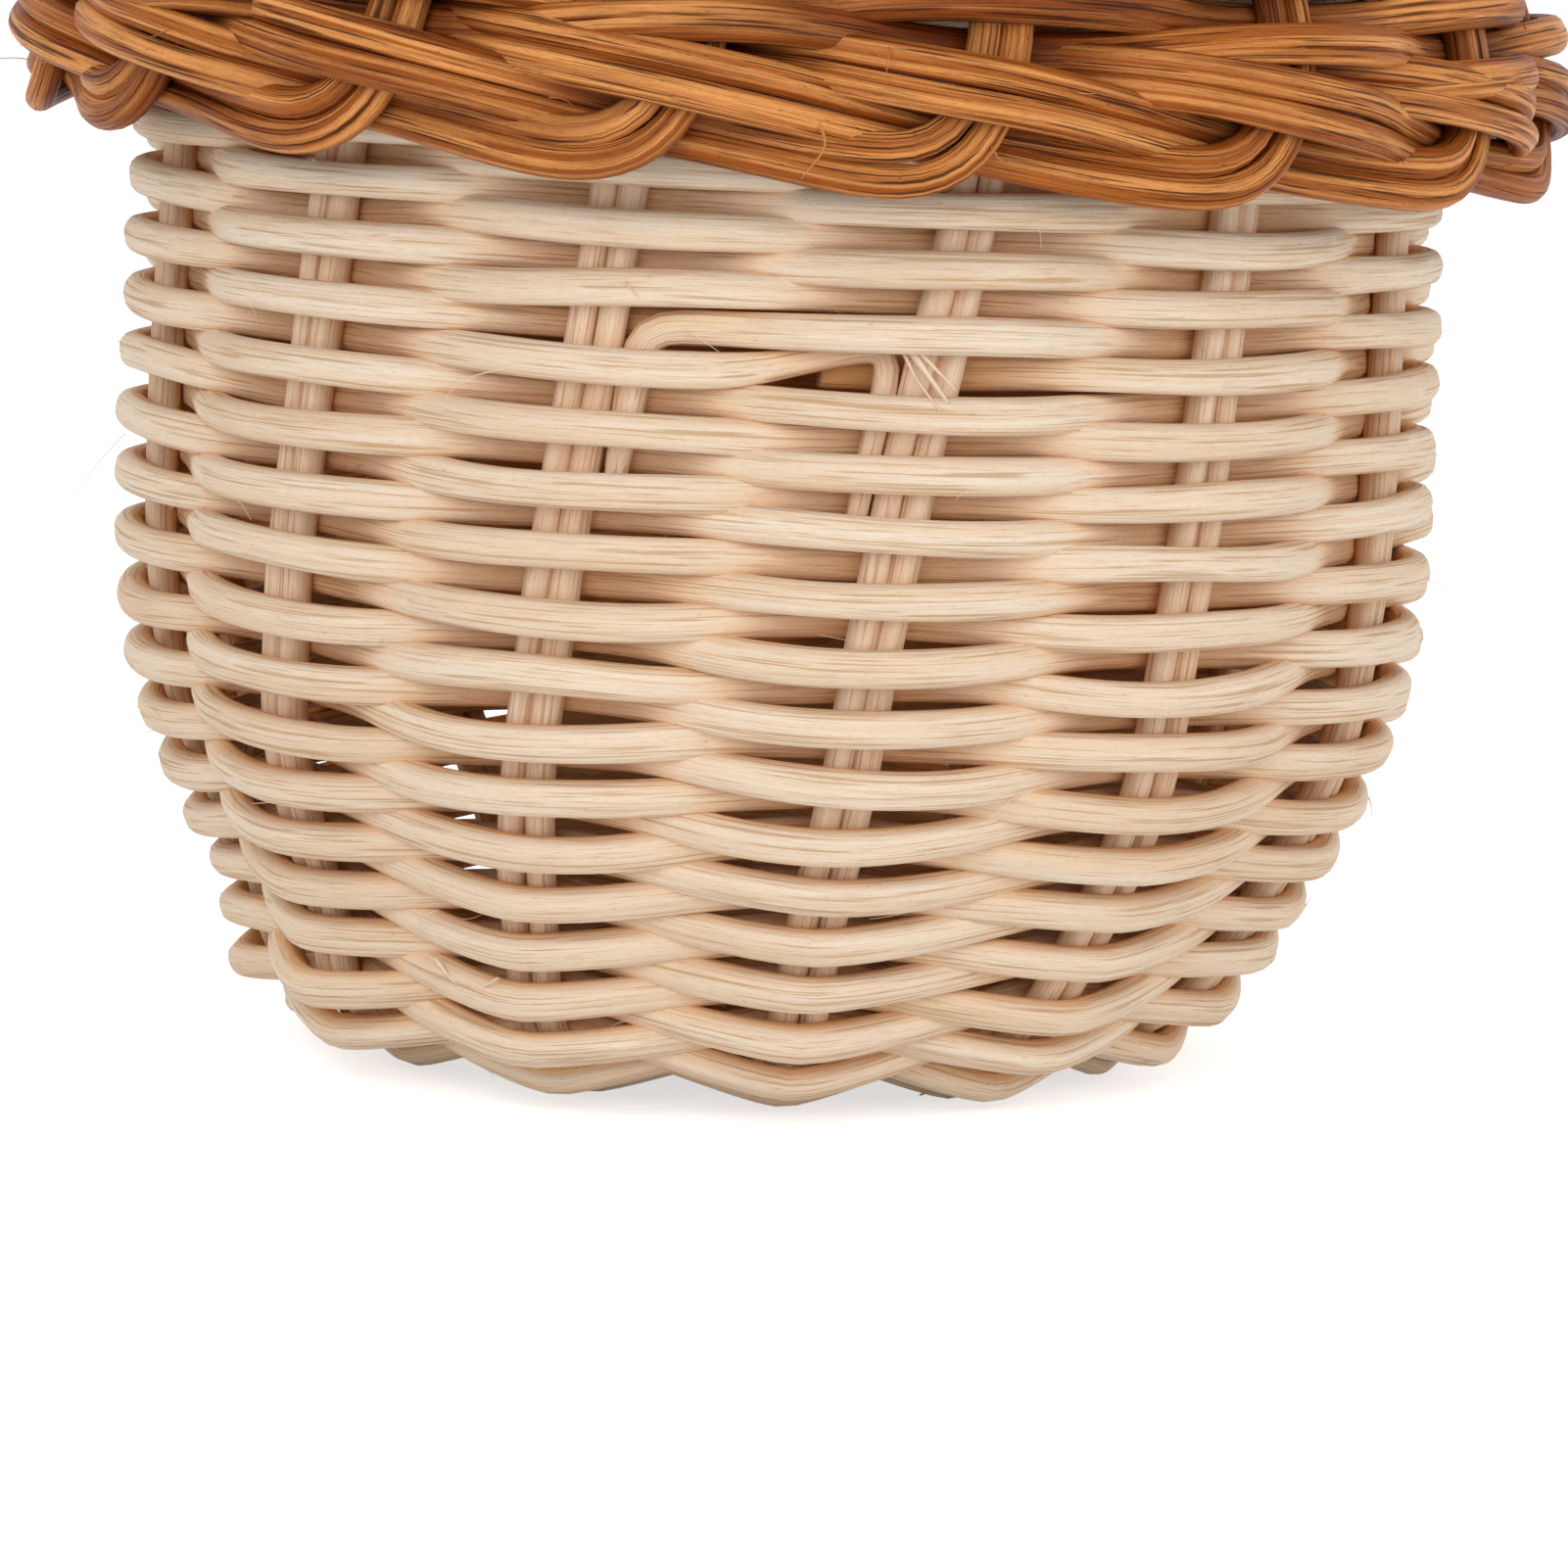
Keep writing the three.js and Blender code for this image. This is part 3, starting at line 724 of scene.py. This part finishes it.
def mixed(nodes, links, factor, dark, light):
    """A colour mix node between two colours or sockets."""
    mix = nodes.new("ShaderNodeMix")
    mix.data_type = "RGBA"
    for socket, value in ((mix.inputs["A"], dark), (mix.inputs["B"], light)):
        if isinstance(value, tuple):
            socket.default_value = (*value, 1)
        else:
            links.new(value, socket)
    links.new(factor, mix.inputs["Factor"])
    return mix.outputs["Result"]


def ramped(nodes, links, value, low, high, start=0.0, end=1.0):
    """A value mapped smoothly from low..high to start..end."""
    ramp = nodes.new("ShaderNodeMapRange")
    ramp.interpolation_type = "SMOOTHSTEP"
    links.new(value, ramp.inputs["Value"])
    for name, number in (("From Min", low), ("From Max", high), ("To Min", start), ("To Max", end)):
        ramp.inputs[name].default_value = number
    return ramp.outputs["Result"]


def stretched_noise(nodes, links, fibre, across, along, detail, roughness):
    """Noise drawn out along the fibres: its scales are in features per millimetre."""
    scale = nodes.new("ShaderNodeVectorMath")
    scale.operation = "MULTIPLY"
    scale.inputs[1].default_value = (across, across, along)
    links.new(fibre, scale.inputs[0])
    noise = nodes.new("ShaderNodeTexNoise")
    noise.inputs["Scale"].default_value = 1.0
    noise.inputs["Detail"].default_value = detail
    noise.inputs["Roughness"].default_value = roughness
    links.new(scale.outputs["Vector"], noise.inputs["Vector"])
    return noise.outputs["Fac"]


def combined(nodes, links, operation, first, second):
    """A maths node on two values or sockets."""
    node = nodes.new("ShaderNodeMath")
    node.operation = operation
    for socket, value in zip(node.inputs, (first, second)):
        if isinstance(value, (int, float)):
            socket.default_value = value
        else:
            links.new(value, socket)
    return node.outputs["Value"]


def attribute(nodes, name, output="Fac"):
    node = nodes.new("ShaderNodeAttribute")
    node.attribute_name = name
    return node.outputs[output]


def rattan_material(name, colours, painted_shade_colour, roughness, specular, bump, contrast, stains):
    """Rattan core: broad bands of tone, fine fibre lines, dark pores, a ribbed surface and painted
    shade in its recesses.

    colours are pale, middle, deep and line, as linear shares of red, green and blue.
    """
    pale, middle, deep, line = colours
    material = bpy.data.materials.new(name)
    material.use_nodes = True
    nodes, links = material.node_tree.nodes, material.node_tree.links
    shader = nodes["Principled BSDF"]
    shader.inputs["Specular IOR Level"].default_value = specular
    place = attribute(nodes, "fibre", "Vector")
    noises = {label: stretched_noise(nodes, links, place, *NOISES[label]) for label in NOISES}
    shows = {label: ramped(nodes, links, noises[label], *NOISE_RANGES[label]) for label in NOISES}

    colour = mixed(nodes, links, shows["ribs"], middle, pale)
    shade = combined(nodes, links, "MULTIPLY", shows["lengths"], contrast)
    colour = mixed(nodes, links, shade, colour, deep)
    piece_tone = ramped(nodes, links, attribute(nodes, "tone"), 0, 1)
    piece_tone = combined(nodes, links, "MULTIPLY", piece_tone, PIECE_TONE_SHARE)
    colour = mixed(nodes, links, piece_tone, colour, middle)
    strengths = {
        "grooves": contrast, "hairlines": contrast * HAIRLINE_SHARE, "pores": stains,
        "fuzz": contrast * FUZZ_SHARE,
    }
    for label, strength in strengths.items():
        mark = combined(nodes, links, "MULTIPLY", shows[label], strength)
        colour = mixed(nodes, links, mark, colour, line)
    # Painted shade: the colour is multiplied toward a darker, warmer colour where the mask marks
    # recessed or inward faces.
    painted_shade_mix = nodes.new("ShaderNodeMix")
    painted_shade_mix.data_type = "RGBA"
    painted_shade_mix.blend_type = "MULTIPLY"
    links.new(attribute(nodes, "painted_shade"), painted_shade_mix.inputs["Factor"])
    links.new(colour, painted_shade_mix.inputs["A"])
    painted_shade_mix.inputs["B"].default_value = (*painted_shade_colour, 1)
    links.new(painted_shade_mix.outputs["Result"], shader.inputs["Base Color"])

    rough = ramped(nodes, links, noises["grooves"], *ROUGHNESS_RANGE, *roughness)
    links.new(rough, shader.inputs["Roughness"])

    relief = 0.0
    for label, share in RELIEF_SHARES.items():
        part = combined(nodes, links, "MULTIPLY", noises[label], share)
        relief = combined(nodes, links, "ADD", relief, part)
    height = nodes.new("ShaderNodeBump")
    height.inputs["Strength"].default_value = bump
    height.inputs["Distance"].default_value = RIB_HEIGHT * MM
    links.new(relief, height.inputs["Height"])
    links.new(height.outputs["Normal"], shader.inputs["Normal"])
    return material


def seen_rays(nodes, links):
    """1 for the rays by which the camera sees a surface, straight, in gloss or through glass."""
    path = nodes.new("ShaderNodeLightPath")
    camera, glossy = path.outputs["Is Camera Ray"], path.outputs["Is Glossy Ray"]
    seen = combined(nodes, links, "MAXIMUM", camera, glossy)
    return combined(nodes, links, "MAXIMUM", seen, path.outputs["Is Transmission Ray"])


def plain_level_world():
    """Even white light all round, and plain white where the camera or a reflection looks past."""
    world = bpy.data.worlds.new("studio")
    bpy.context.scene.world = world
    world.use_nodes = True
    nodes, links = world.node_tree.nodes, world.node_tree.links
    light = nodes["Background"]
    light.inputs["Color"].default_value = (1, 1, 1, 1)
    light.inputs["Strength"].default_value = WORLD_STRENGTH
    white = nodes.new("ShaderNodeBackground")
    white.inputs["Color"].default_value = (1, 1, 1, 1)
    white.inputs["Strength"].default_value = 1.0
    mix = nodes.new("ShaderNodeMixShader")
    links.new(seen_rays(nodes, links), mix.inputs["Fac"])
    links.new(light.outputs["Background"], mix.inputs[1])
    links.new(white.outputs["Background"], mix.inputs[2])
    links.new(mix.outputs["Shader"], nodes["World Output"].inputs["Surface"])


def pale_floor():
    """A wide white floor that keeps only a soft shadow.

    Seen by the camera it glows a little, so that it fades into the ground of the picture.
    """
    mesh = bpy.data.meshes.new("floor")
    half = FLOOR_HALF * MM
    corners = [(-half, -half, 0), (half, -half, 0), (half, half, 0), (-half, half, 0)]
    mesh.from_pydata(corners, [], [(0, 1, 2, 3)])
    floor = bpy.data.objects.new("floor", mesh)
    bpy.context.collection.objects.link(floor)
    material = bpy.data.materials.new("floor")
    material.use_nodes = True
    nodes, links = material.node_tree.nodes, material.node_tree.links
    shader = nodes["Principled BSDF"]
    shader.inputs["Base Color"].default_value = (FLOOR_TONE, FLOOR_TONE, FLOOR_TONE, 1)
    shader.inputs["Roughness"].default_value = FLOOR_ROUGHNESS
    shader.inputs["Specular IOR Level"].default_value = 0.0
    shader.inputs["Emission Color"].default_value = (1, 1, 1, 1)
    glow = combined(nodes, links, "MULTIPLY", seen_rays(nodes, links), FLOOR_GLOW)
    links.new(glow, shader.inputs["Emission Strength"])
    mesh.materials.append(material)


def soft_lamp(name, place, size, power):
    """A square soft lamp, aimed at a point on the object's axis."""
    lamp = bpy.data.lights.new(name, "AREA")
    lamp.shape = "SQUARE"
    lamp.size = size * MM
    lamp.energy = power
    holder = bpy.data.objects.new(name, lamp)
    holder.location = Vector(place) * MM
    aim = Vector((0, 0, LAMP_AIM * MM)) - holder.location
    holder.rotation_mode = "QUATERNION"
    holder.rotation_quaternion = aim.to_track_quat("-Z", "Y")
    bpy.context.collection.objects.link(holder)


def photograph_camera():
    """The camera of the photograph: a long lens, a little above the object, tipped and rolled."""
    data = bpy.data.cameras.new("camera")
    data.sensor_width = SENSOR_WIDTH
    data.lens = SENSOR_WIDTH * FOCAL_PIXELS / PHOTO_PIXELS
    data.clip_start = CAMERA_DISTANCE * MM / CLIP_TIMES
    data.clip_end = CAMERA_DISTANCE * MM * CLIP_TIMES
    camera = bpy.data.objects.new("camera", data)
    rise = CAMERA_DISTANCE * math.tan(CAMERA_PITCH)
    place = Matrix.Translation(Vector((CAMERA_ASIDE, -CAMERA_DISTANCE, CAMERA_AIM + rise)) * MM)
    tip = Matrix.Rotation(math.pi / 2 - CAMERA_PITCH, 4, "X")
    camera.matrix_world = place @ tip @ Matrix.Rotation(CAMERA_ROLL, 4, "Z")
    bpy.context.collection.objects.link(camera)
    bpy.context.scene.camera = camera


def basket_reed_radius(s):
    """The reeds of the wall at full thickness, and those of the base a little slimmer."""
    share = np.clip((s - BASE_REED_END) / BASE_REED_FADE, 0, 1)
    return (BASE_REED_DIAMETER + (REED_DIAMETER - BASE_REED_DIAMETER) * share) / 2


def even_radius(diameter):
    """The radius of a reed as a function of the distance along the outline, the same all along."""
    return lambda s: np.full_like(np.asarray(s, float), diameter / 2)


def outline_points(shares, radius, rise):
    """Points of (radius, height) from shares of a radius and of a rise."""
    return [(share * radius, height * rise) for share, height in shares]


def dome_points():
    """The lid's outline from its crown to its rim: a quarter of a rounded square."""
    points = []
    for i in range(LID_OUTLINE_POINTS + 1):
        angle = i / LID_OUTLINE_POINTS * math.pi / 2
        across = max(0, math.sin(angle)) ** (2 / LID_ROUNDNESS)
        up = max(0, math.cos(angle)) ** (2 / LID_ROUNDNESS)
        points.append((LID_RADIUS * across, LID_RISE * up))
    return points


def woven_body(name, surface, weaves, cross_rods, fan_radius, diameter, material, rng):
    """All the rods and reeds of the basket or the lid, one object for each CAD node.

    weaves are (weave, label, lap, turns woven past the solids' last row).
    """
    floor = name == "basket"
    reeds = crossed_rods(surface, cross_rods, fan_radius, diameter, rng)
    for i, rod in enumerate(reeds):
        node = f"{name}_stake_rod_{i + 1:02d}"
        woven_piece("woven_" + node, [rod], node, name, material, rng, floor=floor)
    for weave, label, lap, extra_turns in weaves:
        for strand, letter in enumerate("ab"):
            ends = weave.cuts(strand)
            ends[-1] += int(extra_turns * surface.pairs)
            for part, (first, last) in enumerate(zip(ends, ends[1:])):
                number = str(part + 1) if len(ends) > 2 else ""
                node = f"{name}_{label}_reed_{letter}{number}"
                reed = weave.length(strand, first, last, rng, lap, TUCKS.get(node, (None, None)))
                woven_piece("woven_" + node, [reed], node, name, material, rng, floor=floor)
                reeds.append(reed)
    return reeds


def scattered_fibres(reeds, count, rng):
    """Short fine fibres that stand off the reeds where they were split, all over a body."""
    fibres = []
    sizes = np.array([len(reed.centres) for reed in reeds], float)
    for choice in rng.choice(len(reeds), count, p=sizes / sizes.sum()):
        reed = reeds[choice]
        ring = rng.integers(2, len(reed.centres) - 2)
        heading = unit(reed.centres[ring + 1] - reed.centres[ring - 1]) * rng.choice((-1, 1))
        across = np.cross(heading, reed.normals[ring])
        turn = rng.uniform(-FIBRE_TURN, FIBRE_TURN)
        turn += math.pi if rng.uniform() < FIBRES_INSIDE_SHARE else 0
        out = math.cos(turn) * reed.normals[ring] + math.sin(turn) * across
        base = reed.centres[ring] + out * reed.radii[ring] * FIBRE_ROOT_SHARE
        length = rng.uniform(*FIBRE_LENGTHS) * rng.uniform(*FIBRE_LENGTH_SHARES)
        along = np.linspace(0, 1, FIBRE_POINTS)[:, None]
        rise = rng.uniform(*FIBRE_RISE_SHARES) * along ** rng.uniform(*FIBRE_RISE_POWERS)
        aside = rng.uniform(-FIBRE_ASIDE_SHARE, FIBRE_ASIDE_SHARE) * along ** 2
        ahead = heading * along * rng.uniform(*FIBRE_REACH_SHARES)
        line = base + length * (ahead + out * rise + across * aside)
        fibres.append(fibre_reed(line, out, rng.uniform(*FIBRE_RADII)))
    return fibres


def fibre_reed(line, normal, radius):
    """A fibre that tapers to its tip, as a reed that stands clear of all the others, so that its
    front is left without painted shade.
    """
    taper = np.linspace(1, FIBRE_TIP_SHARE, len(line))
    return Reed(line, np.tile(normal, (len(line), 1)), radius * taper, FIBRE_PAINTED_SHADE_DEPTH)


def marked_fibres(reeds, marks):
    """The loose fibres of the photograph, each from points of (side, height, stand-off)."""
    centres = np.concatenate([reed.centres for reed in reeds])
    reach = np.hypot(centres[:, 0], centres[:, 1]) + np.concatenate([reed.radii for reed in reeds])
    fibres = []
    for radius, points in marks:
        points = np.array(points, float)
        away = np.hypot(centres[:, 0] - points[0, 0], centres[:, 2] - points[0, 1])
        near = (away < MARK_NEAR) & (centres[:, 1] < 0)
        base = reach[near].max() - radius
        line = spaced(curve_through(points, FIBRE_CURVE_STEPS), FIBRE_STEP)
        out = base + line[:, 2]
        front = -np.sqrt(np.maximum(0, out ** 2 - line[:, 0] ** 2))
        places = np.stack([line[:, 0], front, line[:, 1]], axis=1)
        fibres.append(fibre_reed(places, (0, -1, 0), radius))
    return fibres


def weaves_of(surface, fan_radius, fine_radius, joins, radius, stretch=0.0, spreads=(), sag=0.0):
    """The fine weave round the cross and the weave of the wall, which ends below the border."""
    fine_end = surface.distance_at(fine_radius)
    band = (TAIL_SHARE - CAD_HOOK_SHARE) * PLAIT_STEP + 3 * PLAIT_EDGE
    fine = Weave(
        surface, surface.distance_at(fan_radius), fine_end, FINE_ROW_PITCH,
        even_radius(FINE_REED_DIAMETER), FINE_SWING, FINE_SQUARENESS, NO_JOIN_SHARES)
    wall = Weave(
        surface, fine_end + ROW_PITCH, surface.length - band, ROW_PITCH, radius, SWING,
        WALL_SQUARENESS, joins, REED_FLATNESS, stretch, spreads, sag)
    return fine, wall


# The two joins of the photograph: an end that turns down beside its stake, and at the next stake
# a start that does the same. The pair of a node is its start and its end.
TUCKS = {
    "basket_wall_reed_a4": (None, Tuck(beside=0.14, length=22.0, width_share=0.95, tip_share=0.45)),
    "basket_wall_reed_b5": (
        Tuck(beside=0.13, length=23.0, width_share=0.68, tip_share=0.8, lift=3.4, inward=1.6),
        None),
}

rod_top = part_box("basket_stake_rod_01")[1].z / MM
lid_rim = min(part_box(f"lid_stake_rod_{i + 1:02d}")[0].z for i in range(2 * LID_CROSS_RODS)) / MM
basket_surface = Surface(
    outline_points(DISH_SHARES, BASKET_RADIUS, BASE_DISH)
    + outline_points(BASKET_OUTLINE_SHARES, BASKET_RADIUS, BASKET_RISE),
    1, 2 * BASKET_CROSS_RODS, BASKET_TWIST, BASKET_FINE_RADIUS, BASKET_TURN,
    rod_top - BASKET_RISE, BASKET_DRIFTS, bulge=BASKET_BULGE)
lid_surface = Surface(
    dome_points(), -1, 2 * LID_CROSS_RODS, 0, LID_FINE_RADIUS, LID_TURN, lid_rim, LID_DRIFTS,
    slant=LID_SLANT)

natural = rattan_material(
    "natural_rattan", NATURAL_COLOURS, NATURAL_PAINTED_SHADE, NATURAL_ROUGHNESS,
    specular=0.25, bump=0.7, contrast=0.6, stains=0.35)
brown = rattan_material(
    "brown_rattan", BROWN_COLOURS, BROWN_PAINTED_SHADE, BROWN_ROUGHNESS,
    specular=0.14, bump=0.8, contrast=0.85, stains=0.6)

rng = np.random.default_rng(SEED)
fine, wall = weaves_of(
    basket_surface, BASKET_FAN_RADIUS, BASKET_FINE_RADIUS, BASKET_JOIN_SHARES, basket_reed_radius,
    spreads=JOIN_SPREADS, sag=ROW_SAG)
basket_reeds = woven_body(
    "basket", basket_surface, [(fine, "base", 0, 0), (wall, "wall", LAP, BASKET_EXTRA_TURNS)],
    BASKET_CROSS_RODS, BASKET_FAN_RADIUS, BASKET_ROD_DIAMETER, natural, rng)
crown, dome = weaves_of(
    lid_surface, LID_FAN_RADIUS, LID_FINE_RADIUS, LID_JOIN_SHARES, even_radius(LID_REED_DIAMETER),
    stretch=LID_ROW_STRETCH)
lid_reeds = woven_body(
    "lid", lid_surface, [(crown, "crown", 0, 0), (dome, "wall", LAP, LID_EXTRA_TURNS)],
    LID_CROSS_RODS, LID_FAN_RADIUS, LID_ROD_DIAMETER, brown, rng)
for body, reeds, marks, count, material, slot in (
        ("basket", basket_reeds, BASKET_MARKS, BASKET_FIBRES, natural, "natural_rattan"),
        ("lid", lid_reeds, LID_MARKS, LID_FIBRES, brown, "brown_rattan")):
    fibres = marked_fibres(reeds, marks) + scattered_fibres(reeds, count, rng)
    woven_piece(body + "_loose_fibres", fibres, None, body, material, rng, sides=FIBRE_SIDES)

plain_level_world()
pale_floor()
soft_lamp("key_lamp", KEY_PLACE, KEY_SIZE, KEY_POWER)
soft_lamp("fill_lamp", FILL_PLACE, FILL_SIZE, FILL_POWER)
photograph_camera()
bpy.context.scene.view_settings.view_transform = "Standard"
